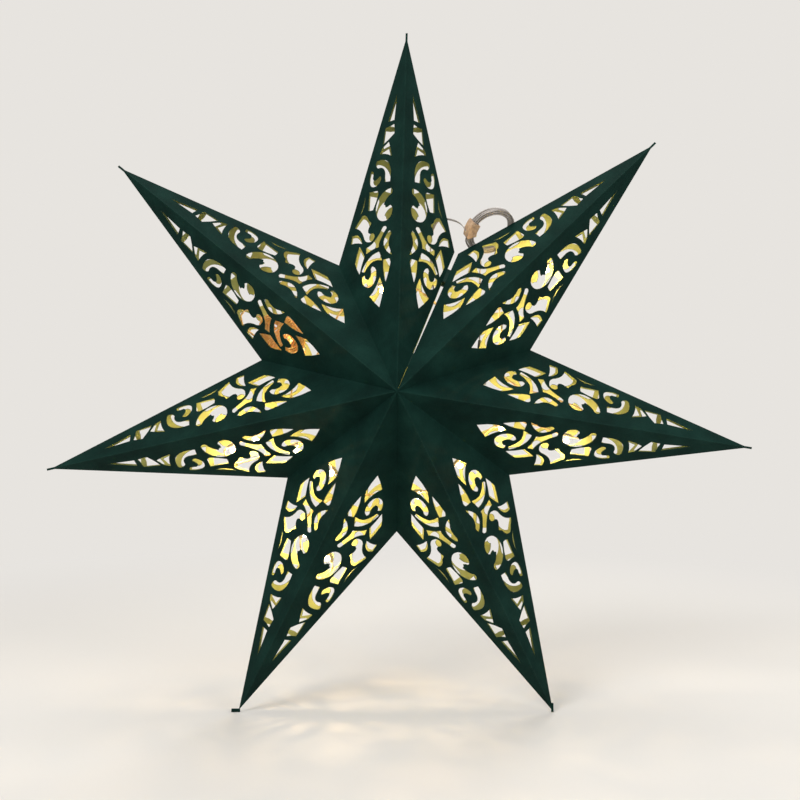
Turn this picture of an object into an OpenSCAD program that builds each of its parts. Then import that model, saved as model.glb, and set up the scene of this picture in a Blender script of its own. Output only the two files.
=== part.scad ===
/* [Star] */
// Distance from the middle of the star to the tip of each arm
star_r = 303; // [260:1:360]
// Distance from the middle to the notch between two glued arms
notch_r = 119; // [105:1:130]
// Distance from the middle to the notch at the open seam
seam_notch_r = 129; // [118:1:140]
// Half of the star's depth, from the mid-plane to each peak
half_depth = 85; // [65:1:110]
// Thickness of the card
card_t = 0.5; // [0.4:0.1:1]
// Width of the glue tabs folded in along the valleys
tab_w = 8; // [5:1:12]

/* [Arms] */
// Heading of the top arm, in degrees clockwise from straight up
top_heading = 1.5; // [-2:0.5:5]
// Heading of the upper right arm
upper_right_heading = 46; // [44:0.5:48]
// Heading of the right arm
right_heading = 99; // [96:0.5:102]
// Heading of the lower right arm
lower_right_heading = 154; // [151:0.5:157]
// Heading of the lower left arm
lower_left_heading = 206.5; // [204:0.5:209]
// Heading of the left arm
left_heading = 257.5; // [254:0.5:261]
// Heading of the upper left arm
upper_left_heading = 309; // [306:0.5:312]

/* [Seam] */
// Heading of the middle of the open seam
seam_heading = 23; // [21.5:0.5:24.5]
// Angle left open between the two end arms
seam_gap = 1.5; // [1:0.1:2.5]
// Length of each sticky pad that holds the seam
pad_len = 12; // [8:1:20]
// Distance from the middle to the inner pads
inner_pad_r = 27; // [24:1:40]
// Distance from the middle to the outer pads
outer_pad_r = 106; // [100:1:110]

/* [Tips] */
// Length of the pinched spike at each tip
spike_len = 9; // [6:0.5:14]
// Width of the pinched spike
spike_w = 1.8; // [1.4:0.1:3]
// Length of the lower right spike, which hooks straight down to the ground
hook_len = 7.4; // [5:0.2:10]
// Length of the lower left spike, which is folded flat on the ground as a toe
toe_len = 7.2; // [4:0.2:10]
// Height of that toe
toe_h = 2.6; // [2.2:0.2:3.6]
// Height at which the cards of the lowest tip meet
tip_clear = 0.6; // [0.4:0.1:1]

/* [Lights] */
// Diameter of the light string's wire
wire_d = 1.8; // [1.4:0.1:1.8]
// Diameter of each lamp
lamp_d = 5; // [4:0.5:6]
// Length of the straight part of each lamp, below its round end
lamp_len = 4; // [3:0.5:5]
// Length of each lamp's socket along the wire
socket_len = 7; // [5:0.5:8]
// Diameter of each lamp's socket
socket_d = 3.4; // [3:0.1:4]
// Length of the bundle of spare wire in the upper left arm
bundle_len = 44; // [40:1:46]
// Width of that bundle
bundle_w = 28; // [24:1:30]
// Thickness of that bundle
bundle_t = 8; // [6:0.5:8]
// Length of the turns wound round the bundle's waist
waist_len = 12; // [8:1:16]

/* [Lead] */
// Outer diameter of the hank of spare lead, which is wound in a round
hank_d = 44; // [40:1:46]
// Thickness of the hank, which is three turns by three
hank_t = 5.6; // [5:0.1:6]
// Place of the hank's middle on the back of the upper right arm, along the ridge from the tip
hank_u = 144.5; // [140:0.5:150]
// Place of the hank's middle across from the ridge
hank_v = 59.5; // [57:0.5:63]
// Length of the paper tape along the hank
tape_len = 17; // [12:1:22]
// Thickness of the paper tape, which goes round several times
tape_t = 2; // [1:0.1:2.5]

/* [Plug] */
// Width of the plug's moulded grip
grip_w = 15.5; // [14:0.5:17]
// Thickness of the grip
grip_t = 8; // [7:0.5:9]
// Length of the grip
grip_len = 20; // [16:1:26]
// Length of the tapered sleeve between the wire and the grip
sleeve_len = 9; // [6:1:14]
// Width of the metal shell
shell_w = 12; // [11.5:0.1:12.5]
// Thickness of the metal shell
shell_t = 4.5; // [4.3:0.1:5]
// Length of the metal shell outside the grip
shell_len = 12; // [11:0.5:14]
// Thickness of the metal the shell is folded from
shell_wall = 0.3; // [0.2:0.1:0.4]

/* [Hidden] */

card_color = [0.08, 0.22, 0.18];
wire_color = [0.45, 0.43, 0.4];
lamp_color = [1, 0.86, 0.55];
tape_color = [0.76, 0.62, 0.5];
plug_color = [0.3, 0.29, 0.27];
shell_color = [0.75, 0.75, 0.77];
tongue_color = [0.93, 0.93, 0.9];
contact_color = [0.85, 0.68, 0.3];

headings = [top_heading, upper_right_heading, right_heading, lower_right_heading,
            lower_left_heading, left_heading, upper_left_heading];
arms = len(headings);

// The valley before each arm, counted clockwise: the first arm's is the last arm's other side
function valley_before(i) =
    i == 0 ? (headings[arms - 1] + headings[0] + 360) / 2 - 360 :
    i == upper_right ? seam_heading + seam_gap / 2 :
    (headings[i - 1] + headings[i]) / 2;
function valley_after(i) =
    i == 0 ? seam_heading - seam_gap / 2 :
    i == arms - 1 ? valley_before(0) + 360 :
    valley_before(i + 1);
function notch_before(i) = i == upper_right ? seam_notch_r : notch_r;
function notch_after(i) = i == 0 ? seam_notch_r : notch_r;

// A point of the star, from its heading, its distance from the middle and its depth
function at(heading, r, y = 0) = [r * sin(heading), y, r * cos(heading)];
function unit(v) = v / norm(v);
// The part of a vector that is square to a direction
function square_to(v, d) = v - (v * d) * d;

// Places in the list of headings: the arm that carries the lead and the two that stand
upper_right = 1;
lower_right = 3;
lower_left = 4;

// Where the star stands: its feet on the ground, the middle of its width at x = 0
spike_root = 6;
lift = tip_clear - star_r * min(cos(lower_right_heading), cos(lower_left_heading));
side_shift = -(at(right_heading, star_r + spike_len - spike_root)[0]
               + at(left_heading, star_r + spike_len - spike_root)[0]) / 2;
// Moves a shape from the star's own middle to where the star stands
module stand() translate([side_shift, 0, lift]) children();

// The seventeen cut-outs of one panel. Each corner is [along the ridge from the tip, across from
// the ridge, rise of the arc to the next corner], in mm; a positive rise bulges out of the shape.
CUTS = [
    // long thin sliver
    [[50.5, 9.5, 0], [74.5, 12, 0], [73.5, 19.5, 0]],
    // leaning sail
    [[78, 12, 0], [87, 11, 0.5], [93, 25, 0], [78, 22.5, -0.5]],
    // curved triangle
    [[92.5, 18, 0.5], [107.5, 14, -1], [100.5, 28.5, 0], [96, 26, 0]],
    // hook over the small scroll
    [[106, 31, 4.5], [120.5, 14.5, 0.3], [130.5, 15, 0], [129, 21.5, 0], [121, 21.3, -2.5],
     [113.5, 30, 0.8], [108, 33, 0.6]],
    // small scroll
    [[121.5, 27.5, 0.8], [125.5, 26, 0.8], [129.5, 32, 2.6], [122, 40, 0.6], [113.5, 38.5, 0.6],
     [115.5, 35, 0], [121, 36, -1.2], [123.5, 31.5, 0]],
    // small tile
    [[134, 30.5, 0.6], [137.5, 28.5, 0.5], [150.5, 34.5, 0.4], [149, 40.5, 0], [132.5, 39.5, 0]],
    // large comma
    [[137, 13.5, 1.4], [142.5, 12.5, -1.4], [149.5, 21.8, 0.8], [152.8, 19.5, -0.5], [152, 14.5, 1],
     [157.5, 11.2, 2.4], [165, 19, 2.5], [155.5, 30.5, 2.4], [141, 27, 1.8]],
    // crescent along the edge
    [[134.5, 44.5, 2.2], [151.5, 51, -0.7]],
    // vase with a curled tail
    [[151.5, 47.5, 0.8], [154.5, 41.5, 0.3], [158.5, 39.5, 0], [161.5, 36, 0.3], [165, 38.5, -0.6],
     [169.5, 39.5, -0.8], [171.5, 34.5, 1], [175.5, 31.5, 1.4], [178.8, 37, 2], [171, 45.3, -1.6],
     [160.5, 56, 0.3], [155.5, 51.5, 0]],
    // small bell
    [[177.5, 46.5, -0.8], [174, 60.5, 0], [167.2, 59, 0.3], [167.5, 53, 1.4]],
    // three-armed bird
    [[169.5, 19.5, 0.5], [172, 17.3, -0.4], [179, 23.3, -0.8], [186.5, 26, -0.9], [188.5, 41, 0],
     [183, 41.5, -0.4], [180.8, 33.5, -0.8], [170, 22.5, 0.6]],
    // smile by the ridge
    [[175, 13.8, 0.5], [178.5, 12, -2.3], [192.5, 12.5, 0], [197.3, 10.7, 0.8], [189, 19.3, 2.4],
     [177.5, 17.3, 0.5]],
    // leaf in the valley
    [[179, 49.7, 0.3], [190, 42.7, -0.5], [205, 48.3, 0.4], [193.5, 54.5, 0.4]],
    // bracket
    [[190.5, 25.5, 0.2], [199.5, 21.5, -0.6], [197.3, 32, -1], [204.5, 42.5, 0.3], [202.5, 46, 1.4],
     [191.5, 34, 0.4]],
    // round hook
    [[201.5, 33, 2.3], [212, 28, 2.2], [219.5, 36, 3], [208, 45.5, 0.3], [207.3, 41.8, -1.4],
     [212.3, 37, -1.6], [203.5, 35, 0.4]],
    // leaf by the ridge
    [[199.3, 20.3, 0], [199.8, 14, 0.8], [203.5, 11.5, 0.5], [220, 16.7, 1.2]],
    // arrowhead
    [[213, 24, 0.4], [224, 19.2, 0.6], [240, 23, 0.4], [227.7, 35.3, -1.6]]
];

// The star that the cut-outs were drawn for: its radius, its notches' and half of its depth
DRAWN_FOR = [303, 119, 85];
// Length of a ridge, and how wide a panel spreads for each mm from its tip
function ridge(size) = norm([size[0], size[2]]);
function spread(size) = let(
    notch = [size[1] * sin(180 / arms), size[0] - size[1] * cos(180 / arms)],
    down = notch[1] * size[0] / ridge(size)
) sqrt(notch * notch - down * down) / down;
size_now = [star_r, notch_r, half_depth];
cut_along = ridge(size_now) / ridge(DRAWN_FOR);
cut_across = cut_along * spread(size_now) / spread(DRAWN_FOR);

// How far the chords of an arc may stray from it
curve_tol = 0.15;

// Points of the arc that leaves corner a for corner b and rises by its own rise
function arc_points(a, b) = let(
    chord = [b[0] - a[0], b[1] - a[1]],
    len_c = norm(chord),
    steps = a[2] == 0 ? 1 : max(2, ceil(sqrt(abs(a[2]) / curve_tol))),
    out = [chord[1], -chord[0]] / len_c
) [for (k = [0:steps - 1]) let(t = k / steps) [a[0], a[1]] + t * chord + 4 * t * (1 - t) * a[2] * out];
function outline(corners) =
    [for (i = [0:len(corners) - 1]) each arc_points(corners[i], corners[(i + 1) % len(corners)])];

// One arm as a solid spike between its two valleys; scaled about the tip it also makes the cavity
cavity_scale = 1.5;
module arm_block(i, scale_up = 1) {
    tip = at(headings[i], star_r);
    corners = [tip, at(valley_before(i), notch_before(i)), at(valley_after(i), notch_after(i)),
               [0, -half_depth, 0], [0, half_depth, 0]];
    polyhedron([for (c = corners) tip + scale_up * (c - tip)],
               [[0, 3, 1], [0, 2, 3], [0, 1, 4], [0, 4, 2], [1, 3, 4], [3, 2, 4]]);
}

// The move that brings each panel plane of an arm inwards by the card's thickness
function cavity_shift(i) = let(
    tip = at(headings[i], star_r),
    peak = [0, -half_depth, 0],
    n_before = unit(cross(peak - tip, at(valley_before(i), notch_before(i)) - tip)),
    n_after = unit(cross(at(valley_after(i), notch_after(i)) - tip, peak - tip)),
    det = n_before[0] * n_after[2] - n_before[2] * n_after[0]
) card_t * [(n_after[2] - n_before[2]) / det, 0, (n_before[0] - n_after[0]) / det];

// Lays a flat shape in the panel from an arm's tip along the ridge to a peak and over to a notch
module on_panel(tip, peak, notch) {
    along = unit(peak - tip);
    across = unit(square_to(notch - tip, along));
    up = cross(along, across);
    multmatrix([[along[0], across[0], up[0], tip[0]], [along[1], across[1], up[1], tip[1]],
                [along[2], across[2], up[2], tip[2]], [0, 0, 0, 1]]) children();
}

// The cut-outs as bars that pass right through the card
cut_depth = 8 * card_t;
module panel_cuts() linear_extrude(cut_depth, center = true)
    for (c = CUTS) polygon([for (p = outline(c)) [cut_along * p[0], cut_across * p[1]]]);

// A glue tab folded in along the valley from a notch to a peak; side says which way is inwards
module tab(i, heading, notch, peak, inward) {
    along = unit(peak - notch);
    up = inward * [cos(heading), 0, -sin(heading)];
    across = cross(up, along);
    side = sign(across * (-notch));
    valley = norm(peak - notch);
    multmatrix([[along[0], across[0], up[0], notch[0]], [along[1], across[1], up[1], notch[1]],
                [along[2], across[2], up[2], notch[2]], [0, 0, 0, 1]])
        linear_extrude(card_t)
            polygon([for (p = [[tab_w, card_t / 2], [2 * tab_w, tab_w], [valley - 3 * tab_w, tab_w],
                               [valley - tab_w, card_t / 2]])
                     [p[0], side * p[1]]]);
}

// The pinched end of an arm: four layers of card pressed flat
spike_t = 4 * card_t;
module spike(i)
    translate(at(headings[i], star_r - spike_root)) rotate([0, headings[i], 0])
        translate([-spike_w / 2, -spike_t / 2, 0]) cube([spike_w, spike_t, spike_len]);

// The pinched end of a standing arm: bent to the ground, it reaches from side to side of the tip
module foot(i, left, right, height)
    translate([at(headings[i], star_r)[0] - left, -spike_t / 2, -lift])
        cube([left + right, spike_t, height]);

module arm(i) stand() color(card_color) {
    tip = at(headings[i], star_r);
    before = at(valley_before(i), notch_before(i));
    after = at(valley_after(i), notch_after(i));
    peaks = [[0, -half_depth, 0], [0, half_depth, 0]];
    difference() {
        arm_block(i);
        translate(cavity_shift(i)) arm_block(i, cavity_scale);
        for (peak = peaks, notch = [before, after]) on_panel(tip, peak, notch) panel_cuts();
    }
    for (peak = peaks) {
        tab(i, valley_before(i), before, peak, 1);
        tab(i, valley_after(i), after, peak, -1);
    }
    if (i == lower_right) foot(i, 0.8 * spike_w, 0.2 * spike_w, hook_len);
    else if (i == lower_left) foot(i, toe_len - spike_w / 2, spike_w / 2, toe_h);
    else spike(i);
}

// Depth of the seam's valley at a distance from the middle
function valley_y(r) = half_depth * (1 - r / seam_notch_r);

// A sticky pad between the two tabs of the open seam, r from the middle, at the front or the back
module seam_pad(r, depth_sign) stand() color(card_color) {
    sides = [seam_heading - seam_gap / 2, seam_heading + seam_gap / 2];
    ends = [r - pad_len / 2, r + pad_len / 2];
    corners = [for (d = [0, tab_w], e = ends, s = sides) at(s, e, depth_sign * max(valley_y(e) - d, 0))];
    ring = [[0, 1, 3, 2], [4, 6, 7, 5], [0, 4, 5, 1], [2, 3, 7, 6], [1, 5, 7, 3], [0, 2, 6, 4]];
    polyhedron(corners, depth_sign < 0 ? ring : [for (f = ring) [for (k = [3:-1:0]) f[k]]]);
}

// Smooth tubes along a route, with rings that keep their turn from one point to the next
function tangent(p, i) = unit(p[min(i + 1, len(p) - 1)] - p[max(i - 1, 0)]);
function carried(p, i, n) = let(t = tangent(p, i), m = unit(square_to(n, t)))
    i == len(p) - 1 ? [m] : concat([m], carried(p, i + 1, m));
module tube(path, d, sides = 8) {
    count = len(path);
    first = carried(path, 0, [0.2, 0.9, 0.4]);
    rings = [for (i = [0:count - 1], k = [0:sides - 1]) let(
        n = first[i], b = cross(tangent(path, i), n), a = 360 * k / sides)
        path[i] + d / 2 * (cos(a) * n + sin(a) * b)];
    walls = [for (i = [0:count - 2], k = [0:sides - 1]) let(
        a = i * sides + k, b = i * sides + (k + 1) % sides)
        each [[a, a + sides, b], [b, a + sides, b + sides]]];
    caps = [[for (k = [0:sides - 1]) k], [for (k = [sides - 1:-1:0]) (count - 1) * sides + k]];
    polyhedron(rings, concat(walls, caps));
}

// Where the wire passes through the open seam, from the star's middle
seam_exit = [33, 24, 77.5];

// Route of the wire inside the star. A fourth number of 1 puts a lamp on the stretch that follows.
WIRE = [
    seam_exit, [33, 14, 77.5], [26, 6, 82], [13, 4, 90], [-2, 6, 93, 1], [-24, 8, 91], [-42, 8, 78],
    [-54, 4, 60], [-62, -1, 42], [-70, -4, 30], [-78, -4, 32], [-97, -4, 47.4], [-119, -4, 65.2],
    [-128, -3, 70], [-134, 0, 66], [-132, 1, 58], [-122, 3, 48], [-106, 10, 42, 1], [-86, 11, 46],
    [-79, 10, 36], [-84, 9, 22], [-90, 8, 8], [-92, 8, -14], [-113, 7, -33, 1], [-133, 6, -42, 1],
    [-152, 5, -50], [-140, 8, -62], [-118, 12, -56], [-97, 12, -49, 1], [-81, 12, -43],
    [-66, 10, -52], [-58, 9, -62, 1], [-50, 7, -73], [-50, 6, -96], [-59, 5, -133, 1],
    [-55, 4, -151], [-66, 3, -162], [-78, 4, -150], [-83, 5, -132, 1], [-82, 6, -112],
    [-62, 8, -94], [-30, 8, -89], [7, 8, -86, 1], [28, 8, -85], [46, 8, -66, 1], [56, 8, -55],
    [80, 10, -32, 1], [96, 10, -23], [118, 8, -28], [138, 8, -35, 1], [155, 8, -40], [168, 6, -32],
    [158, 8, -14], [124, 10, -2], [102, 9, 6], [86, 8, 20], [82, 8, 34], [90, 10, 46, 1],
    [88, 10, 70], [100, 8, 92], [118, 6, 106, 1], [136, 5, 112]
];
LAMPS = [for (i = [0:len(WIRE) - 1]) if (WIRE[i][3] == 1) i];
function wire_point(i) = [WIRE[i][0], WIRE[i][1], WIRE[i][2]];
wire_route = [for (i = [0:len(WIRE) - 1]) wire_point(i)];

// The bundle is wound round the stretch of wire that starts at this point, two stretches long
bundle_start = 10;
// Clearance between the wire and what is threaded on it
wire_gap = 0.02;

// Route of the lead behind the seam, from the seam to the tape on the hank
LEAD_UPPER = [
    seam_exit, [33, 29, 77.8], [32.5, 32.8, 81.5], [32, 31, 90], [30, 28.5, 106], [29, 25, 124],
    [30, 20, 138], [34, 13, 146.5], [40, 6, 148.5], [46, 0, 147], [53, -6.5, 143],
    [57.6, -11.7, 138]
];
// Route of the lead from the hank over the back of the upper right arm to the plug
LEAD_LOWER = [
    [72.8, 12.9, 120.5], [72.5, 17.5, 113.5], [72.5, 24.5, 106], [73, 33, 97], [73, 41.5, 88],
    [73.5, 52, 79], [74, 59, 71.5], [74.5, 61.5, 64], [75, 62, 56], [75, 62, 48]
];
plug_top = LEAD_LOWER[len(LEAD_LOWER) - 1];

module light_wire() stand() color(wire_color) tube(wire_route, wire_d);

// Stands a shape that points up the z axis on the middle of a stretch of the wire
module on_wire(i) {
    dir = unit(wire_point(i + 1) - wire_point(i));
    translate((wire_point(i) + wire_point(i + 1)) / 2)
        rotate([0, acos(dir[2]), atan2(dir[1], dir[0])]) children();
}
module wire_bore(length) translate([0, 0, -length / 2])
    cylinder(h = length, d = wire_d + 2 * wire_gap, $fn = 24);

module lamp(k) stand() on_wire(LAMPS[k]) difference() {
    union() {
        color(wire_color) translate([0, 0, -socket_len / 2])
            cylinder(h = socket_len, d = socket_d, $fn = 24);
        color(lamp_color) rotate([0, 90, 0]) {
            cylinder(h = lamp_len, d = lamp_d, $fn = 24);
            translate([0, 0, lamp_len]) sphere(d = lamp_d, $fn = 24);
        }
    }
    wire_bore(2 * socket_len);
}

// An outline with round ends, lying along x
module round_ended(length, width) {
    for (x = [width - length, length - width]) translate([x / 2, 0]) circle(d = width, $fn = 48);
    square([length - width, width], center = true);
}

// The bundle of spare wire in the upper left arm, with turns of the same wire wound round its waist
module wire_bundle() stand() color(wire_color) {
    from = wire_point(bundle_start);
    to = wire_point(bundle_start + 2);
    along = unit(to - from);
    translate((from + to) / 2) rotate([0, atan2(-along[2], along[0]), 0]) rotate([90, 0, 0])
        difference() {
            union() {
                linear_extrude(bundle_t, center = true) round_ended(bundle_len, bundle_w);
                linear_extrude(bundle_t + 2 * wire_d, center = true)
                    square([waist_len, bundle_w + 2 * wire_d], center = true);
            }
            rotate([0, 90, 0]) wire_bore(2 * bundle_len);
        }
}

// Lays a shape flat against the back of the upper right arm, with its middle on the hank's place
hank_gap = 0.2;
module at_hank() {
    on_panel(at(headings[upper_right], star_r), [0, half_depth, 0],
             at(valley_before(upper_right), seam_notch_r))
        translate([hank_u, hank_v, hank_t / 2 + hank_gap]) children();
}

module lead_hank() stand() color(wire_color) at_hank()
    rotate_extrude($fn = 64) translate([hank_d / 2 - hank_t, -hank_t / 2]) square(hank_t);

// The paper tape round the hank, on the side that faces the seam
tape_heading = 61;
module tape_band() stand() color(tape_color) at_hank() {
    turn = tape_len / (hank_d - hank_t) * 360 / PI;
    rotate([0, 0, tape_heading - turn / 2]) rotate_extrude(angle = turn, $fn = 64)
        translate([hank_d / 2 - hank_t, -hank_t / 2]) difference() {
            translate([-tape_t, -tape_t]) square(hank_t + 2 * tape_t);
            square(hank_t);
        }
}

module lead_upper() stand() color(wire_color) tube(LEAD_UPPER, wire_d);

module lead_lower() stand() color(wire_color) tube(LEAD_LOWER, wire_d);

// The plug hangs from the end of the lead: its sleeve on top, then the grip, then the metal shell
module at_plug() stand() translate(plug_top) children();
grip_r = 2;
grip_grooves = 3;
groove_d = 1.2;
sleeve_d = 4.6;
sleeve_wall = 0.4;
module rounded_bar(w, t, h, r) linear_extrude(h) {
    for (x = [r - w / 2, w / 2 - r], y = [r - t / 2, t / 2 - r]) translate([x, y]) circle(r, $fn = 24);
    square([w, t - 2 * r], center = true);
    square([w - 2 * r, t], center = true);
}

module plug_grip() color(plug_color) at_plug() {
    difference() {
        translate([0, 0, -sleeve_len - grip_len]) rounded_bar(grip_w, grip_t, grip_len, grip_r);
        // Grooves on each flat side for the fingers
        for (k = [1:grip_grooves], side = [-1, 1])
            translate([0, side * grip_t / 2, -sleeve_len - grip_len * k / (grip_grooves + 1)])
                rotate([0, 90, 0])
                    cylinder(h = grip_w - 2 * grip_r, d = groove_d, center = true, $fn = 24);
    }
    translate([0, 0, -sleeve_len])
        cylinder(h = sleeve_len, d1 = sleeve_d, d2 = wire_d + 2 * sleeve_wall, $fn = 24);
}

// The shell's upper end on the grip, and the corner radius and the side of its square catches
shell_top = -sleeve_len - grip_len;
shell_r = 0.6;
catch_w = 2.2;
module plug_shell() color(shell_color) at_plug() translate([0, 0, shell_top - shell_len])
    difference() {
        rounded_bar(shell_w, shell_t, shell_len, shell_r);
        translate([0, 0, -shell_len / 2])
            rounded_bar(shell_w - 2 * shell_wall, shell_t - 2 * shell_wall, 2 * shell_len, shell_r);
        for (x = [-shell_w / 4, shell_w / 4]) translate([x, 0, shell_len / 2])
            cube([catch_w, 2 * shell_t, catch_w], center = true);
    }

// The tongue lies on one wall of the shell, shorter than it, and the contacts lie on the tongue
tongue_t = 1.8;
tongue_back = 2;
tongue_len = shell_len - tongue_back;
tongue_w = shell_w - 2 * shell_wall - 2 * shell_r;
tongue_y = shell_wall - shell_t / 2;
module plug_tongue() color(tongue_color) at_plug()
    translate([-tongue_w / 2, tongue_y, shell_top - tongue_len]) cube([tongue_w, tongue_t, tongue_len]);

contact_w = 1;
contact_t = 0.2;
contact_back = 1.5;
contact_len = tongue_len - contact_back;
CONTACTS_X = [-3.5, -1, 1, 3.5];
module plug_contacts() color(contact_color) at_plug() for (x = CONTACTS_X)
    translate([x - contact_w / 2, tongue_y + tongue_t, shell_top - contact_len])
        cube([contact_w, contact_t, contact_len]);

arm(0);  // arm_top
arm(1);  // arm_upper_right
arm(2);  // arm_right
arm(3);  // arm_lower_right
arm(4);  // arm_lower_left
arm(5);  // arm_left
arm(6);  // arm_upper_left
seam_pad(outer_pad_r, -1);  // seam_pad_front_outer
seam_pad(inner_pad_r, -1);  // seam_pad_front_inner
seam_pad(outer_pad_r, 1);  // seam_pad_back_outer
seam_pad(inner_pad_r, 1);  // seam_pad_back_inner
light_wire();
wire_bundle();
lamp(0);  // lamp_1
lamp(1);  // lamp_2
lamp(2);  // lamp_3
lamp(3);  // lamp_4
lamp(4);  // lamp_5
lamp(5);  // lamp_6
lamp(6);  // lamp_7
lamp(7);  // lamp_8
lamp(8);  // lamp_9
lamp(9);  // lamp_10
lamp(10);  // lamp_11
lamp(11);  // lamp_12
lamp(12);  // lamp_13
lamp(13);  // lamp_14
lead_upper();
lead_hank();
tape_band();
lead_lower();
plug_grip();
plug_shell();
plug_tongue();
plug_contacts();
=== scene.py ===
"""A paper star lantern: dyed card arms, a lit string of lamps, and its lead, hank and plug."""

import math

import bpy
from mathutils import Matrix, Vector


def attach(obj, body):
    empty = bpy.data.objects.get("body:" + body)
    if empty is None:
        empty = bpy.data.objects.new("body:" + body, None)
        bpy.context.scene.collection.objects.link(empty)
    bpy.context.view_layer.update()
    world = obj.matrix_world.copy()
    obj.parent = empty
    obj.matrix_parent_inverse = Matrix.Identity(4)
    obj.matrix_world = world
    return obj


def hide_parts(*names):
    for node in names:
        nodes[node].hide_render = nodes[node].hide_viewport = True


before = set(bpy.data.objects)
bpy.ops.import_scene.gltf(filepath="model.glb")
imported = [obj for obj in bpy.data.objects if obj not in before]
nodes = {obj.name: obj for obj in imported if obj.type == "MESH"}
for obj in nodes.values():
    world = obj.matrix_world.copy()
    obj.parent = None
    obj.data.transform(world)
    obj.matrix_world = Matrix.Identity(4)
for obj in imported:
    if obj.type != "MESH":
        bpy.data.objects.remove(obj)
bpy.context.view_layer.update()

# The star's own middle, which the routes below are measured from
peak = min((v.co for v in nodes["arm_top"].data.vertices), key=lambda co: co.y)
MIDDLE = Vector((peak.x, 0, peak.z))
HEADINGS = {
    "arm_top": 1.5, "arm_upper_right": 46, "arm_right": 99, "arm_lower_right": 154,
    "arm_lower_left": 206.5, "arm_left": 257.5, "arm_upper_left": 309,
}

# Both wires are two strands; LAY is how far apart wound turns lie
WIRE_D = 0.0018
STRAND_R = 0.29 * WIRE_D
STRAND_OFFSET = 0.21 * WIRE_D
LAY = 0.00185
LEAD_TWIST = 0.078
STRING_TWIST = 0.014
SEAM_EXIT = (33, 24, 77.5)
WIRE = [
    SEAM_EXIT, (33, 14, 77.5), (26, 6, 82), (13, 4, 90), (-2, 6, 93), (-24, 8, 91), (-42, 8, 78),
    (-54, 4, 60), (-62, -1, 42), (-70, -4, 30), (-78, -4, 32), (-97, -4, 47.4), (-119, -4, 65.2),
    (-128, -3, 70), (-134, 0, 66), (-132, 1, 58), (-122, 3, 48), (-106, 10, 42), (-86, 11, 46),
    (-79, 10, 36), (-84, 9, 22), (-90, 8, 8), (-92, 8, -14), (-113, 7, -33), (-133, 6, -42),
    (-152, 5, -50), (-140, 8, -62), (-118, 12, -56), (-97, 12, -49), (-81, 12, -43),
    (-66, 10, -52), (-58, 9, -62), (-50, 7, -73), (-50, 6, -96), (-59, 5, -133), (-55, 4, -151),
    (-66, 3, -162), (-78, 4, -150), (-83, 5, -132), (-82, 6, -112), (-62, 8, -94), (-30, 8, -89),
    (7, 8, -86), (28, 8, -85), (46, 8, -66), (56, 8, -55), (80, 10, -32), (96, 10, -23),
    (118, 8, -28), (138, 8, -35), (155, 8, -40), (168, 6, -32), (158, 8, -14), (124, 10, -2),
    (102, 9, 6), (86, 8, 20), (82, 8, 34), (90, 10, 46), (88, 10, 70), (100, 8, 92),
    (118, 6, 106), (136, 5, 112),
]
# Points of the wire that a lamp's stretch starts at
LAMPS = [4, 17, 23, 24, 28, 31, 34, 38, 42, 44, 46, 49, 57, 60]
# Points of the wire just before and just after the bundle
BUNDLE_ENDS = (10, 12)
LEAD_UPPER = [
    SEAM_EXIT, (33, 29, 77.8), (32.5, 32.8, 81.5), (32, 31, 90), (30, 28.5, 106), (29, 25, 124),
    (30, 20, 138), (34, 13, 146.5), (40, 6, 148.5), (46, 0, 147), (53, -6.5, 143),
]
LEAD_LOWER = [
    (72.5, 17.5, 113.5), (72.5, 24.5, 106), (73, 33, 97), (73, 41.5, 88), (73.5, 52, 79),
    (74, 59, 71.5), (74.5, 61.5, 64), (75, 62, 56), (75, 62, 48),
]


def from_middle(point):
    """A point given in mm from the star's middle, in metres in the row's frame."""
    return Vector(point) / 1000 + MIDDLE


def at(heading, r):
    """A point of the star's mid-plane in mm, from its heading and its distance from the middle."""
    return Vector((r * math.sin(math.radians(heading)), 0, r * math.cos(math.radians(heading))))


# Camera: level, square to the star, a little right of its middle and below it
camera = bpy.data.objects.new("camera", bpy.data.cameras.new("camera"))
bpy.context.scene.collection.objects.link(camera)
camera.location = from_middle((2.3, -885, -6.8))
camera.rotation_euler = (math.radians(90), 0, 0)
camera.data.lens = 46.66
camera.data.sensor_width = 36
camera.data.clip_start = 0.01
bpy.context.scene.camera = camera


# Cords
def smooth(points, step):
    """A smooth line through the points, with its own points about step apart."""
    gaps = [max((b - a).length, 1e-6) ** 0.5 for a, b in zip(points, points[1:])]
    slopes = [(points[1] - points[0]) / gaps[0]]
    for i in range(1, len(points) - 1):
        before, here, after = points[i - 1:i + 2]
        slopes.append((here - before) / gaps[i - 1] - (after - before) / (gaps[i - 1] + gaps[i])
                      + (after - here) / gaps[i])
    slopes.append((points[-1] - points[-2]) / gaps[-1])
    line = []
    for i, gap in enumerate(gaps):
        count = max(1, round((points[i + 1] - points[i]).length / step))
        for k in range(count):
            t = k / count
            line.append((2 * t ** 3 - 3 * t ** 2 + 1) * points[i]
                        + (t ** 3 - 2 * t ** 2 + t) * gap * slopes[i]
                        + (3 * t ** 2 - 2 * t ** 3) * points[i + 1]
                        + (t ** 3 - t ** 2) * gap * slopes[i + 1])
    return line + [points[-1]]


SHARP_CORNER = math.radians(40)


def eased(points, radius):
    """The same route with its sharp corners rounded off."""
    route = [points[0]]
    for before, here, after in zip(points, points[1:], points[2:]):
        come, go = here - before, after - here
        turn = come.angle(go)
        if turn < SHARP_CORNER:
            route.append(here)
            continue
        reach = min(radius * math.tan(turn / 2), 0.45 * come.length, 0.45 * go.length)
        start, end = here - reach * come.normalized(), here + reach * go.normalized()
        r = reach / math.tan(turn / 2)
        inwards = ((start + end) / 2 - here).normalized()
        route += [start, here + (r / math.cos(turn / 2) - r) * inwards, end]
    return route + [points[-1]]


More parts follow.
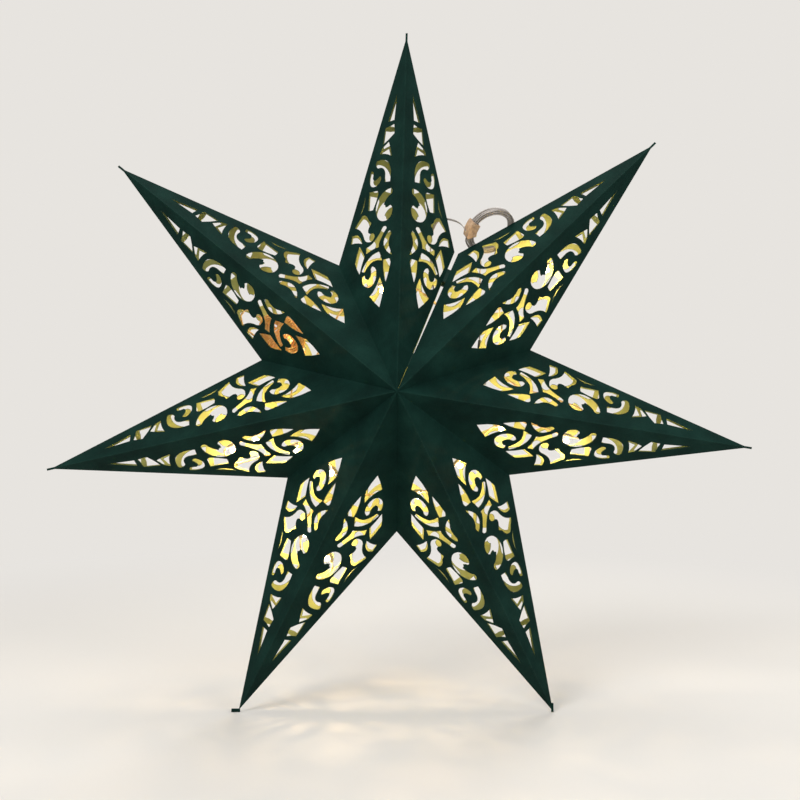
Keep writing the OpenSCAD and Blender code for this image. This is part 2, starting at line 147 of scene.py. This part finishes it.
def twisted_pair(name, line, twist):
    """Two thin strands twisted round each other along a line, as one mesh."""
    sides = 6
    verts, faces = [], []
    tangents = [(line[min(i + 1, len(line) - 1)] - line[max(i - 1, 0)]).normalized()
                for i in range(len(line))]
    normal = tangents[0].cross(Vector((0.3, 0.2, 0.9))).normalized()
    along = 0
    frames = []
    for i, tangent in enumerate(tangents):
        normal = (normal - normal.dot(tangent) * tangent).normalized()
        if i:
            along += (line[i] - line[i - 1]).length
        frames.append((line[i], normal, tangent.cross(normal), along))
    for strand in range(2):
        first = len(verts)
        for centre, n, b, s in frames:
            turn = 2 * math.pi * s / twist + strand * math.pi
            middle = centre + STRAND_OFFSET * (math.cos(turn) * n + math.sin(turn) * b)
            for k in range(sides):
                a = 2 * math.pi * k / sides
                verts.append(middle + STRAND_R * (math.cos(a) * n + math.sin(a) * b))
        for i in range(len(frames) - 1):
            for k in range(sides):
                a, b = first + i * sides + k, first + i * sides + (k + 1) % sides
                faces.append((a, b, b + sides, a + sides))
        faces.append([first + k for k in range(sides - 1, -1, -1)])
        faces.append([first + (len(frames) - 1) * sides + k for k in range(sides)])
    mesh = bpy.data.meshes.new(name)
    mesh.from_pydata(verts, [], faces)
    mesh.polygons.foreach_set("use_smooth", [True] * len(mesh.polygons))
    piece = bpy.data.objects.new(name, mesh)
    bpy.context.scene.collection.objects.link(piece)
    return piece


# The hank lies flat on the back of the upper right arm, between its ridge and the seam
tip, back_peak, notch = at(46, 303), Vector((0, 85, 0)), at(23.75, 129)
along_ridge = (back_peak - tip).normalized()
across = notch - tip
across = (across - across.dot(along_ridge) * along_ridge).normalized()
outward = along_ridge.cross(across)
HANK_T = 5.6
HANK_R = 19.2
hank_middle = tip + 144.5 * along_ridge + 59.5 * across + (HANK_T / 2 + 0.2) * outward


def on_hank(angle, r, w=0.0):
    """A point in mm by its angle and radius in the hank's plane and its height over that plane."""
    a = math.radians(angle)
    return hank_middle + r * (math.cos(a) * along_ridge + math.sin(a) * across) + w * outward


# The hank's nine turns, as steps outwards and upwards from the middle of its wall
TURNS = [(1, -1), (0, -1), (-1, -1), (-1, 0), (-1, 1), (0, 1), (0, 0), (1, 0), (1, 1)]
FIRST_ANGLE = 36
TURN_STEPS = 60
STEP_OVER = 0.14
hank_line = []
lay_mm = 1000 * LAY
for turn, (out, up) in enumerate(TURNS):
    next_out, next_up = TURNS[min(turn + 1, len(TURNS) - 1)]
    for k in range(TURN_STEPS):
        share = max(0, (k / TURN_STEPS - (1 - STEP_OVER)) / STEP_OVER)
        r = HANK_R + lay_mm * (out + share * (next_out - out))
        w = lay_mm * (up + share * (next_up - up))
        hank_line.append(on_hank(FIRST_ANGLE - 360 / TURN_STEPS * k, r, w))
lead_route = (
    LEAD_UPPER
    + [on_hank(59, 24.8, 3.2), on_hank(54, 23.4, 0.6), on_hank(46, 21.9, -0.9)]
    + hank_line
    + [on_hank(30, 22.7, 1.2), on_hank(14, 22.9, 0.4), on_hank(-4, 23, 0), on_hank(-17, 23.8, 0),
       on_hank(-27, 26.6, -0.6)]
    + LEAD_LOWER
)
lead_line = smooth([from_middle(p) for p in lead_route], 0.0009)
lead = twisted_pair("lead", lead_line, LEAD_TWIST)

# The bundle: four flat layers of turns, then turns round its waist
start, end = Vector(WIRE[BUNDLE_ENDS[0]]), Vector(WIRE[BUNDLE_ENDS[1]])
bundle_middle = (start + end) / 2
bundle_along = (end - start).normalized()
bundle_side = Vector((0, 1, 0)).cross(bundle_along)
BUNDLE_STRAIGHT = 8
BUNDLE_R = 13.1
BUNDLE_TURNS = 5
LAYERS = [-2.775, -0.925, 0.925, 2.775]
WAIST_TURNS = 6
WAIST_HALF_W = 15
WAIST_HALF_T = 5
WAIST_CORNER_R = 3.8


def on_bundle(s, v, y):
    return bundle_middle + s * bundle_along + v * bundle_side + Vector((0, y, 0))


def on_track(share, r):
    """A place on a flat loop with round ends: how far round it, and the radius of its ends."""
    straight = BUNDLE_STRAIGHT
    quarter = math.pi * r / 2
    far = share % 1 * (4 * quarter + 4 * straight)
    if far < quarter:
        a = far / r
        return -straight - r * math.cos(a), r * math.sin(a)
    far -= quarter
    if far < 2 * straight:
        return far - straight, r
    far -= 2 * straight
    if far < 2 * quarter:
        a = far / r
        return straight + r * math.sin(a), r * math.cos(a)
    far -= 2 * quarter
    if far < 2 * straight:
        return straight - far, -r
    a = (far - 2 * straight) / r
    return -straight - r * math.sin(a), -r * math.cos(a)


def on_waist(far):
    """A place on the turns round the bundle's waist: far along a rounded oblong from one side."""
    r = WAIST_CORNER_R
    side, top, corner = 2 * (WAIST_HALF_T - r), 2 * (WAIST_HALF_W - r), math.pi * r / 2
    far = (far + side / 2) % (2 * (side + top) + 4 * corner)
    v, y, heading = WAIST_HALF_W, WAIST_HALF_T - r, -90
    for run in (side, top, side, top):
        a = math.radians(heading)
        if far < run:
            return v + far * math.cos(a), y + far * math.sin(a)
        v, y, far = v + run * math.cos(a), y + run * math.sin(a), far - run
        if far < corner:
            turn = far / r
            inwards, onwards = r * (1 - math.cos(turn)), r * math.sin(turn)
            return (v + inwards * math.sin(a) + onwards * math.cos(a),
                    y - inwards * math.cos(a) + onwards * math.sin(a))
        v += r * (math.sin(a) + math.cos(a))
        y += r * (math.sin(a) - math.cos(a))
        far -= corner
        heading -= 90
    return v, y


bundle_line = [
    on_bundle(-31.2, -0.6, -0.3), on_bundle(-27.8, -3.6, -0.9), on_bundle(-24.2, -3.9, -1.7),
    on_bundle(-21.8, -2.2, -2.4),
]
steps = 48
# The share of a turn in which the wire climbs to the next layer
CLIMB = 0.2
for layer, y in enumerate(LAYERS):
    for k in range(steps * BUNDLE_TURNS):
        turns = k / steps
        r = BUNDLE_R - lay_mm * (turns if layer % 2 == 0 else BUNDLE_TURNS - turns)
        last_layer = layer == len(LAYERS) - 1
        rise = 0 if last_layer else max(0, 1 - (BUNDLE_TURNS - turns) / CLIMB)
        bundle_line.append(on_bundle(*on_track(turns, r), y + rise * lay_mm))
for k in range(8):
    bundle_line.append(on_bundle(*on_track(k / steps, BUNDLE_R + 0.03 * k), LAYERS[-1]))
bundle_line += [on_bundle(-9.4, 13.5, 2.77), on_bundle(-7.5, 14.1, 2.25), on_bundle(-6.1, 14.7, 0.9)]
round_waist = 4 * (WAIST_HALF_W + WAIST_HALF_T) - (8 - 2 * math.pi) * WAIST_CORNER_R
WAIST_START = -5.6
WAIST_STEPS = 72
LAST_STEPS = 49
for k in range(WAIST_TURNS * WAIST_STEPS + LAST_STEPS):
    far = 0.9 + k * round_waist / WAIST_STEPS
    bundle_line.append(on_bundle(WAIST_START + lay_mm * k / WAIST_STEPS, *on_waist(far)))
bundle_line += [on_bundle(7.4, -0.35, 5), on_bundle(8.75, 1, 5), on_bundle(10.6, 1.5, 5),
                on_bundle(15, 1.1, 5), on_bundle(20, 0.5, 4.1), on_bundle(25, 0, 2.4),
                on_bundle(30, -0.7, 1.2)]
CORNER_R = 4.5
before_bundle = eased([Vector(p) for p in WIRE[:BUNDLE_ENDS[0]]], CORNER_R)
after_bundle = eased([Vector(p) for p in WIRE[BUNDLE_ENDS[1] + 1:]], CORNER_R)
light_route = before_bundle + bundle_line + after_bundle
light_line = smooth([from_middle(p) for p in light_route], 0.001)
light_string = twisted_pair("light_string", light_line, STRING_TWIST)


# Materials
BACKDROP = (0.80, 0.775, 0.74)
DYE_DARK, DYE, DYE_PALE = (0.0018, 0.0135, 0.0105), (0.003, 0.02, 0.0155), (0.0055, 0.029, 0.0225)
# The paler green of the ridge fold line: partly wear, partly a painted highlight on the fold
DYE_FOLD_WEAR_AND_HIGHLIGHT = (0.012, 0.045, 0.035)


def finish_of(name, colour, roughness, metallic=0.0, **sockets):
    """A material with its shader's own sockets set, and its node tree."""
    made = bpy.data.materials.new(name)
    made.use_nodes = True
    shader = made.node_tree.nodes["Principled BSDF"]
    shader.inputs["Base Color"].default_value = (*colour, 1)
    shader.inputs["Roughness"].default_value = roughness
    shader.inputs["Metallic"].default_value = metallic
    for socket, value in sockets.items():
        shader.inputs[socket.replace("_", " ")].default_value = value
    return made, made.node_tree.nodes, made.node_tree.links, shader


def grain(ns, links, scale, stretch=(1, 1, 1), detail=3.0, rough=0.55, turn=0.0):
    """Noise on the piece's own coordinates, drawn out along its axes."""
    place = ns.new("ShaderNodeTexCoord")
    mapping = ns.new("ShaderNodeMapping")
    mapping.inputs["Scale"].default_value = stretch
    mapping.inputs["Rotation"].default_value = (0, turn, 0)
    noise = ns.new("ShaderNodeTexNoise")
    noise.inputs["Scale"].default_value = scale
    noise.inputs["Detail"].default_value = detail
    noise.inputs["Roughness"].default_value = rough
    links.new(place.outputs["Object"], mapping.inputs["Vector"])
    links.new(mapping.outputs["Vector"], noise.inputs["Vector"])
    return noise


def tones(ns, links, source, stops):
    """Colours along a value: each stop is its place and its colour."""
    ramp = ns.new("ShaderNodeValToRGB")
    marks = ramp.color_ramp.elements
    while len(marks) < len(stops):
        marks.new(0.5)
    for mark, (place, colour) in zip(marks, stops):
        mark.position = place
        mark.color = (*colour, 1)
    links.new(source, ramp.inputs["Fac"])
    return ramp.outputs["Color"]


def bumped(ns, links, shader, source, height, strength=1.0):
    bump = ns.new("ShaderNodeBump")
    bump.inputs["Distance"].default_value = height
    bump.inputs["Strength"].default_value = strength
    links.new(source, bump.inputs["Height"])
    links.new(bump.outputs["Normal"], shader.inputs["Normal"])


def varied(ns, links, source, low, high, socket):
    spread = ns.new("ShaderNodeMapRange")
    spread.inputs["From Min"].default_value = 0.3
    spread.inputs["From Max"].default_value = 0.7
    spread.inputs["To Min"].default_value = low
    spread.inputs["To Max"].default_value = high
    links.new(source, spread.inputs["Value"])
    links.new(spread.outputs["Result"], socket)
    return spread


def dyed_card(name, heading):
    """Dark green card outside: mottled dye, paper fibres, and a paler line along the ridge fold,
    partly wear and partly a painted highlight on the fold.
    """
    made, ns, links, shader = finish_of(name, DYE, 0.7, Specular_IOR_Level=0.06)
    turn = -math.radians(heading)
    mottle = grain(ns, links, 38, detail=5)
    dye = tones(ns, links, mottle.outputs["Fac"],
                [(0.3, DYE_DARK), (0.5, DYE), (0.7, DYE_PALE)])
    place = ns.new("ShaderNodeTexCoord")
    local = ns.new("ShaderNodeMapping")
    local.vector_type = "TEXTURE"
    local.inputs["Location"].default_value = MIDDLE
    local.inputs["Rotation"].default_value = (0, math.radians(heading), 0)
    links.new(place.outputs["Object"], local.inputs["Vector"])
    split = ns.new("ShaderNodeSeparateXYZ")
    links.new(local.outputs["Vector"], split.inputs["Vector"])
    side = ns.new("ShaderNodeMath")
    side.operation = "ABSOLUTE"
    links.new(split.outputs["X"], side.inputs[0])
    fold_line_noise = grain(ns, links, 260, detail=4)
    ragged = ns.new("ShaderNodeMath")
    ragged.operation = "MULTIPLY_ADD"
    ragged.inputs[1].default_value = 0.0022
    links.new(fold_line_noise.outputs["Fac"], ragged.inputs[0])
    links.new(side.outputs["Value"], ragged.inputs[2])
    # Paler close to the ridge: partly fold wear, partly a painted highlight on the fold
    fold_wear_and_highlight = ns.new("ShaderNodeMapRange")
    fold_wear_and_highlight.inputs["From Min"].default_value = 0.0010
    fold_wear_and_highlight.inputs["From Max"].default_value = 0.0019
    fold_wear_and_highlight.inputs["To Min"].default_value = 0.3
    fold_wear_and_highlight.inputs["To Max"].default_value = 0.0
    links.new(ragged.outputs["Value"], fold_wear_and_highlight.inputs["Value"])
    mix = ns.new("ShaderNodeMix")
    mix.data_type = "RGBA"
    links.new(fold_wear_and_highlight.outputs["Result"], mix.inputs["Factor"])
    links.new(dye, mix.inputs["A"])
    mix.inputs["B"].default_value = (*DYE_FOLD_WEAR_AND_HIGHLIGHT, 1)
    links.new(mix.outputs["Result"], shader.inputs["Base Color"])
    fibres = grain(ns, links, 900, stretch=(1, 1, 0.35), detail=4, turn=turn)
    varied(ns, links, fibres.outputs["Fac"], 0.6, 0.8, shader.inputs["Roughness"])
    bumped(ns, links, shader, fibres.outputs["Fac"], 0.0001)
    return made


def plain_card():
    """The card's inside: pale yellow-green paper."""
    made, ns, links, shader = finish_of("card_inside", (0.35, 0.37, 0.14), 0.75,
                                        Specular_IOR_Level=0.2)
    mottle = grain(ns, links, 60, detail=5)
    colour = tones(ns, links, mottle.outputs["Fac"],
                   [(0.3, (0.31, 0.33, 0.12)), (0.7, (0.39, 0.41, 0.16))])
    links.new(colour, shader.inputs["Base Color"])
    fibres = grain(ns, links, 1100, detail=4)
    bumped(ns, links, shader, fibres.outputs["Fac"], 0.00004)
    return made


def cut_edge():
    """Where the card is cut through, its core shows: paler and rough, with some of the dye."""
    made, ns, links, shader = finish_of("card_cut_edge", (0.06, 0.10, 0.05), 0.85,
                                        Specular_IOR_Level=0.2)
    mottle = grain(ns, links, 700, detail=3)
    colour = tones(ns, links, mottle.outputs["Fac"],
                   [(0.35, (0.035, 0.075, 0.045)), (0.65, (0.11, 0.15, 0.06))])
    links.new(colour, shader.inputs["Base Color"])
    bumped(ns, links, shader, mottle.outputs["Fac"], 0.00005)
    return made


def foam_pad():
    made, ns, links, shader = finish_of("foam_pad", (0.006, 0.025, 0.019), 0.9, Specular_IOR_Level=0.2)
    cells = grain(ns, links, 1500, detail=2)
    colour = tones(ns, links, cells.outputs["Fac"],
                   [(0.35, (0.004, 0.018, 0.014)), (0.65, (0.010, 0.034, 0.026))])
    links.new(colour, shader.inputs["Base Color"])
    bumped(ns, links, shader, cells.outputs["Fac"], 0.0001)
    return made


def wire_skin(name, dark, light):
    """Thin clear insulation over fine copper strands: smooth and a little glossy."""
    made, ns, links, shader = finish_of(name, light, 0.3, Coat_Weight=0.3)
    tint = grain(ns, links, 220, detail=3)
    colour = tones(ns, links, tint.outputs["Fac"], [(0.3, dark), (0.7, light)])
    links.new(colour, shader.inputs["Base Color"])
    varied(ns, links, tint.outputs["Fac"], 0.26, 0.4, shader.inputs["Roughness"])
    return made


def lamp_socket():
    made, ns, links, shader = finish_of("lamp_socket_resin", (0.30, 0.27, 0.22), 0.4)
    tint = grain(ns, links, 900, detail=3)
    colour = tones(ns, links, tint.outputs["Fac"],
                   [(0.3, (0.25, 0.22, 0.18)), (0.7, (0.36, 0.32, 0.26))])
    links.new(colour, shader.inputs["Base Color"])
    return made


def lamp_dome():
    made, ns, links, shader = finish_of("lamp_dome_resin", (1.0, 0.93, 0.78), 0.08,
                                        Transmission_Weight=1.0, IOR=1.46)
    ripple = grain(ns, links, 900, detail=1)
    bumped(ns, links, shader, ripple.outputs["Fac"], 0.00003)
    return made


def lamp_core():
    made, ns, links, shader = finish_of("lamp_core_lit", (1.0, 0.8, 0.5), 0.5)
    heat = grain(ns, links, 600, detail=1)
    colour = tones(ns, links, heat.outputs["Fac"],
                   [(0.3, (1.0, 0.62, 0.26)), (0.7, (1.0, 0.72, 0.36))])
    links.new(colour, shader.inputs["Emission Color"])
    shader.inputs["Emission Strength"].default_value = 60
    return made


def paper_tape():
    """Tan paper tape, creased across where it is pulled round the hank."""
    made, ns, links, shader = finish_of("paper_tape", (0.52, 0.36, 0.24), 0.7,
                                        Specular_IOR_Level=0.3)
    mottle = grain(ns, links, 330, detail=5)
    colour = tones(ns, links, mottle.outputs["Fac"],
                   [(0.3, (0.42, 0.28, 0.18)), (0.55, (0.52, 0.36, 0.24)),
                    (0.75, (0.62, 0.45, 0.32))])
    links.new(colour, shader.inputs["Base Color"])
    creases = grain(ns, links, 1400, detail=4)
    bumped(ns, links, shader, creases.outputs["Fac"], 0.00012)
    return made


def moulded(name, low, high, roughness):
    made, ns, links, shader = finish_of(name, low, roughness)
    tint = grain(ns, links, 300, detail=4)
    colour = tones(ns, links, tint.outputs["Fac"], [(0.3, low), (0.7, high)])
    links.new(colour, shader.inputs["Base Color"])
    spark = grain(ns, links, 2600, detail=2)
    bumped(ns, links, shader, spark.outputs["Fac"], 0.00003)
    return made


def rubbed_metal(name, low, high, roughness):
    made, ns, links, shader = finish_of(name, low, roughness, metallic=1.0)
    lines = grain(ns, links, 900, stretch=(1, 1, 0.06), detail=4)
    colour = tones(ns, links, lines.outputs["Fac"], [(0.3, low), (0.7, high)])
    links.new(colour, shader.inputs["Base Color"])
    varied(ns, links, lines.outputs["Fac"], roughness - 0.08, roughness + 0.1,
           shader.inputs["Roughness"])
    return made


def studio_floor():
    """Pale, with the star's shadow near it; far away the camera sees the backdrop's colour."""
    made, ns, links, shader = finish_of("studio_floor", (0.74, 0.72, 0.69), 0.9,
                                        Specular_IOR_Level=0.1)
    place = ns.new("ShaderNodeTexCoord")
    reach = ns.new("ShaderNodeVectorMath")
    reach.operation = "LENGTH"
    links.new(place.outputs["Object"], reach.inputs[0])
    far = ns.new("ShaderNodeMapRange")
    far.interpolation_type = "SMOOTHSTEP"
    far.inputs["From Min"].default_value = 0.45
    far.inputs["From Max"].default_value = 1.0
    links.new(reach.outputs["Value"], far.inputs["Value"])
    path = ns.new("ShaderNodeLightPath")
    seen_far = ns.new("ShaderNodeMath")
    seen_far.operation = "MULTIPLY"
    links.new(far.outputs["Result"], seen_far.inputs[0])
    links.new(path.outputs["Is Camera Ray"], seen_far.inputs[1])
    backdrop = ns.new("ShaderNodeEmission")
    backdrop.inputs["Color"].default_value = (*BACKDROP, 1)
    both = ns.new("ShaderNodeMixShader")
    links.new(seen_far.outputs["Value"], both.inputs["Fac"])
    links.new(shader.outputs["BSDF"], both.inputs[1])
    links.new(backdrop.outputs["Emission"], both.inputs[2])
    links.new(both.outputs["Shader"], ns["Material Output"].inputs["Surface"])
    return made


# Arms: each card is dyed outside, plain inside and pale where it is cut
inside, edge = plain_card(), cut_edge()
OUTSIDE_SLOT, INSIDE_SLOT, EDGE_SLOT = range(3)
SHEET_AREA = 0.0003
PINCH_R = 0.2965


def side_of(normal):
    return tuple(round(c, 2) for c in normal)


for name, heading in HEADINGS.items():
    card = nodes[name].data
    card.materials.clear()
    for finish in (dyed_card(name + "_card", heading), inside, edge):
        card.materials.append(finish)
    area = {}
    for face in card.polygons:
        area[side_of(face.normal)] = area.get(side_of(face.normal), 0) + face.area
    for face in card.polygons:
        pinched = (face.center - MIDDLE).length > PINCH_R
        if pinched:
            face.material_index = OUTSIDE_SLOT
        elif area[side_of(face.normal)] < SHEET_AREA:
            face.material_index = EDGE_SLOT
        elif abs(face.normal.y) < 0.1 or face.normal.y * face.center.y < 0:
            face.material_index = INSIDE_SLOT
        else:
            face.material_index = OUTSIDE_SLOT

pad_finish = foam_pad()
for name in nodes:
    if name.startswith("seam_pad"):
        nodes[name].data.materials.clear()
        nodes[name].data.materials.append(pad_finish)

# Wires
for cord, skin in (
    (lead, wire_skin("lead_insulation", (0.31, 0.28, 0.26), (0.44, 0.40, 0.37))),
    # The light string is the same wire as the lead; its warmer tone is painted lamplight through its
    # clear insulation
    (light_string, wire_skin("string_insulation_painted_lamplight", (0.62, 0.40, 0.18), (0.78, 0.55, 0.28))),
):
    cord.data.materials.append(skin)
    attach(cord, "root")
# Where the string is wound up, a deeper orange is painted on: painted glow of the lamps' light shining
# through the windings
light_string.data.materials.append(
    wire_skin("wound_insulation_painted_glow", (0.88, 0.44, 0.12), (0.96, 0.58, 0.21)))
WOUND_GLOW_SLOT = 1
BUNDLE_REACH = 0.025
bundle_centre = from_middle(bundle_middle)
for face in light_string.data.polygons:
    if (face.center - bundle_centre).length < BUNDLE_REACH:
        face.material_index = WOUND_GLOW_SLOT
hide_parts("lead_upper", "lead_hank", "lead_lower")
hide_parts("light_wire", "wire_bundle")


# Lamps: one is modelled at the origin, with its wire along z and its dome along x
def pick_points(piece, wanted):
    """Selects in edit mode the points of a piece that are wanted, by their place."""
    bpy.ops.object.mode_set(mode="EDIT")
    bpy.ops.mesh.select_all(action="DESELECT")
    bpy.ops.mesh.select_mode(type="VERT")
    bpy.ops.object.mode_set(mode="OBJECT")
    for v in piece.data.vertices:
        v.select = wanted(v.co)
    bpy.ops.object.mode_set(mode="EDIT")


bpy.ops.object.select_all(action="DESELECT")
bpy.ops.mesh.primitive_uv_sphere_add(segments=20, ring_count=12, radius=0.0025,
                                     rotation=(0, math.pi / 2, 0))
dome = bpy.context.object
bpy.ops.object.transform_apply(rotation=True)
pick_points(dome, lambda co: co.x < -1e-5)
bpy.ops.mesh.delete(type="VERT")
pick_points(dome, lambda co: co.x < 1e-5)
bpy.ops.mesh.extrude_region_move(TRANSFORM_OT_translate={"value": (-0.0034, 0, 0)})
bpy.ops.transform.resize(value=(1, 1.12, 1.12))
bpy.ops.mesh.edge_face_add()
bpy.ops.object.mode_set(mode="OBJECT")
dome.data.transform(Matrix.Translation((0.004, 0, 0)))
bpy.ops.object.shade_smooth_by_angle(angle=math.radians(50))
dome.data.materials.append(lamp_dome())

bpy.ops.object.select_all(action="DESELECT")
bpy.ops.mesh.primitive_ico_sphere_add(subdivisions=2, radius=0.0011, location=(0.0042, 0, 0))
core = bpy.context.object
bpy.ops.transform.resize(value=(1.5, 1, 1))
bpy.ops.object.transform_apply(location=True, rotation=True, scale=True)
bpy.ops.object.shade_smooth()
core.data.materials.append(lamp_core())

bpy.ops.object.select_all(action="DESELECT")
bpy.ops.mesh.primitive_cylinder_add(vertices=16, radius=0.0017, depth=0.007)
socket = bpy.context.object
bpy.ops.object.mode_set(mode="EDIT")
bpy.ops.mesh.select_all(action="SELECT")
for height in (-0.002, -0.0012, 0.0012, 0.002):
    bpy.ops.mesh.select_all(action="SELECT")
    bpy.ops.mesh.bisect(plane_co=(0, 0, height), plane_no=(0, 0, 1))
pick_points(socket, lambda co: 0.0011 < abs(co.z) < 0.0021)
bpy.ops.transform.resize(value=(1.12, 1.12, 1))
pick_points(socket, lambda co: abs(co.z) > 0.0034)
bpy.ops.transform.resize(value=(0.82, 0.82, 1))
bpy.ops.object.mode_set(mode="OBJECT")
bpy.ops.object.shade_smooth_by_angle(angle=math.radians(40))
socket.data.materials.append(lamp_socket())

bpy.ops.object.select_all(action="DESELECT")
for part in (dome, core, socket):
    part.select_set(True)
bpy.context.view_layer.objects.active = socket
bpy.ops.object.join()
lamp_model = socket

GLOW_COLOUR = (1.0, 0.71, 0.38)
GLOW_W = 0.095
for k, i in enumerate(LAMPS, 1):
    a, b = from_middle(WIRE[i]), from_middle(WIRE[i + 1])
    way = (b - a).normalized()
    place = (Matrix.Translation((a + b) / 2)
             @ Matrix.Rotation(math.atan2(way.y, way.x), 4, "Z")
             @ Matrix.Rotation(math.acos(way.z), 4, "Y"))
    lamp = bpy.data.objects.new(f"lamp_{k}_lit", lamp_model.data.copy())
    bpy.context.scene.collection.objects.link(lamp)
    lamp.data.transform(place)
    lamp.visible_shadow = False
    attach(lamp, "root")
    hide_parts(f"lamp_{k}")
    glow = bpy.data.lights.new(f"glow_{k}", "POINT")
    glow.energy = GLOW_W
    glow.color = GLOW_COLOUR
    glow.shadow_soft_size = 0.002
    shine = bpy.data.objects.new(f"glow_{k}", glow)
    shine.location = place @ Vector((0.0045, 0, 0))
    bpy.context.scene.collection.objects.link(shine)
bpy.data.objects.remove(lamp_model)

# Tape round the hank
bpy.ops.object.select_all(action="DESELECT")
bpy.ops.mesh.primitive_cube_add(size=1)
tape = bpy.context.object
tape.name = "tape"
bpy.ops.transform.resize(value=(0.0135, 0.0086, 0.0086))
bpy.ops.object.transform_apply(scale=True)
bpy.ops.object.mode_set(mode="EDIT")
for x in [k * 0.001 for k in range(-6, 7)]:
    bpy.ops.mesh.select_all(action="SELECT")
    bpy.ops.mesh.bisect(plane_co=(x, 0, 0), plane_no=(1, 0, 0))
bpy.ops.mesh.select_all(action="DESELECT")
bpy.ops.mesh.select_mode(type="FACE")
bpy.ops.object.mode_set(mode="OBJECT")
for face in tape.data.polygons:
    face.select = abs(face.normal.x) > 0.9
bpy.ops.object.mode_set(mode="EDIT")
bpy.ops.mesh.inset(thickness=0.0006)
bpy.ops.mesh.extrude_region_shrink_fatten(TRANSFORM_OT_shrink_fatten={"value": -0.0012})
bpy.ops.object.mode_set(mode="OBJECT")
round_off = tape.modifiers.new("round_off", "BEVEL")
round_off.width = 0.0022
round_off.segments = 3
round_off.limit_method = "ANGLE"
round_off.angle_limit = math.radians(60)
finer = tape.modifiers.new("finer", "SUBSURF")
finer.levels = finer.render_levels = 2
clouds = bpy.data.textures.new("creases", "CLOUDS")
clouds.noise_scale = 0.005
clouds.noise_depth = 2
crumple = tape.modifiers.new("crumple", "DISPLACE")
crumple.texture = clouds
crumple.strength = 0.0008
crumple.mid_level = 0.55
for modifier in ("round_off", "finer", "crumple"):
    bpy.ops.object.modifier_apply(modifier=modifier)
# Bent to the hank's round, on the side that faces the seam
TAPE_HEADING = 61
radius = HANK_R / 1000
for v in tape.data.vertices:
    turn = math.radians(TAPE_HEADING) + v.co.x / radius
    r = 1000 * (radius + v.co.y)
    v.co = from_middle(on_hank(math.degrees(turn), r, 1000 * v.co.z))
bpy.ops.object.mode_set(mode="EDIT")
bpy.ops.mesh.select_all(action="SELECT")
bpy.ops.mesh.normals_make_consistent(inside=False)
bpy.ops.object.mode_set(mode="OBJECT")
bpy.ops.object.shade_smooth()
tape.data.materials.append(paper_tape())
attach(tape, "root")
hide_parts("tape_band")

# Plug
for name, finish in (
    ("plug_grip", moulded("plug_grip_plastic", (0.07, 0.065, 0.055), (0.095, 0.088, 0.075), 0.5)),
    ("plug_shell", rubbed_metal("plug_shell_metal", (0.52, 0.52, 0.54), (0.66, 0.66, 0.68), 0.3)),
    ("plug_tongue", moulded("plug_tongue_plastic", (0.74, 0.74, 0.70), (0.82, 0.82, 0.79), 0.45)),
    ("plug_contacts",
     rubbed_metal("plug_contact_gold", (0.70, 0.44, 0.10), (0.80, 0.54, 0.16), 0.25)),
):
    nodes[name].data.materials.clear()
    nodes[name].data.materials.append(finish)

# Floor, world and studio lights
bpy.ops.object.select_all(action="DESELECT")
bpy.ops.mesh.primitive_plane_add(size=8, location=(0, 0, 0))
floor = bpy.context.object
floor.name = "floor"
floor.data.materials.append(studio_floor())

world = bpy.data.worlds.new("studio")
bpy.context.scene.world = world
world.use_nodes = True
wn, wl = world.node_tree.nodes, world.node_tree.links
wn.clear()
path = wn.new("ShaderNodeLightPath")
seen = wn.new("ShaderNodeMath")
seen.operation = "MAXIMUM"
wl.new(path.outputs["Is Camera Ray"], seen.inputs[0])
wl.new(path.outputs["Is Glossy Ray"], seen.inputs[1])
seen_through = wn.new("ShaderNodeMath")
seen_through.operation = "MAXIMUM"
wl.new(seen.outputs["Value"], seen_through.inputs[0])
wl.new(path.outputs["Is Transmission Ray"], seen_through.inputs[1])
fill, backdrop = wn.new("ShaderNodeBackground"), wn.new("ShaderNodeBackground")
fill.inputs["Color"].default_value = (1, 0.99, 0.97, 1)
fill.inputs["Strength"].default_value = 0.35
backdrop.inputs["Color"].default_value = (*BACKDROP, 1)
backdrop.inputs["Strength"].default_value = 1.0
choice, sky = wn.new("ShaderNodeMixShader"), wn.new("ShaderNodeOutputWorld")
wl.new(seen_through.outputs["Value"], choice.inputs["Fac"])
wl.new(fill.outputs["Background"], choice.inputs[1])
wl.new(backdrop.outputs["Background"], choice.inputs[2])
wl.new(choice.outputs["Shader"], sky.inputs["Surface"])

STUDIO = [
    ("key", (-1.1, -1.5, 1.7), 1.2, 30),
    ("fill", (1.4, -1.3, 1.0), 1.4, 14),
    ("back", (0.6, 1.6, 1.3), 1.4, 16),
    ("top", (0.0, 0.1, 2.2), 1.4, 12),
]
for name, place, size, energy in STUDIO:
    panel = bpy.data.lights.new(name, "AREA")
    panel.shape = "DISK"
    panel.size = size
    panel.energy = energy
    panel.color = (1, 0.985, 0.96)
    stand = bpy.data.objects.new(name, panel)
    stand.location = place
    stand.rotation_euler = (MIDDLE - Vector(place)).to_track_quat("-Z", "Y").to_euler()
    bpy.context.scene.collection.objects.link(stand)

bpy.context.scene.view_settings.view_transform = "Standard"
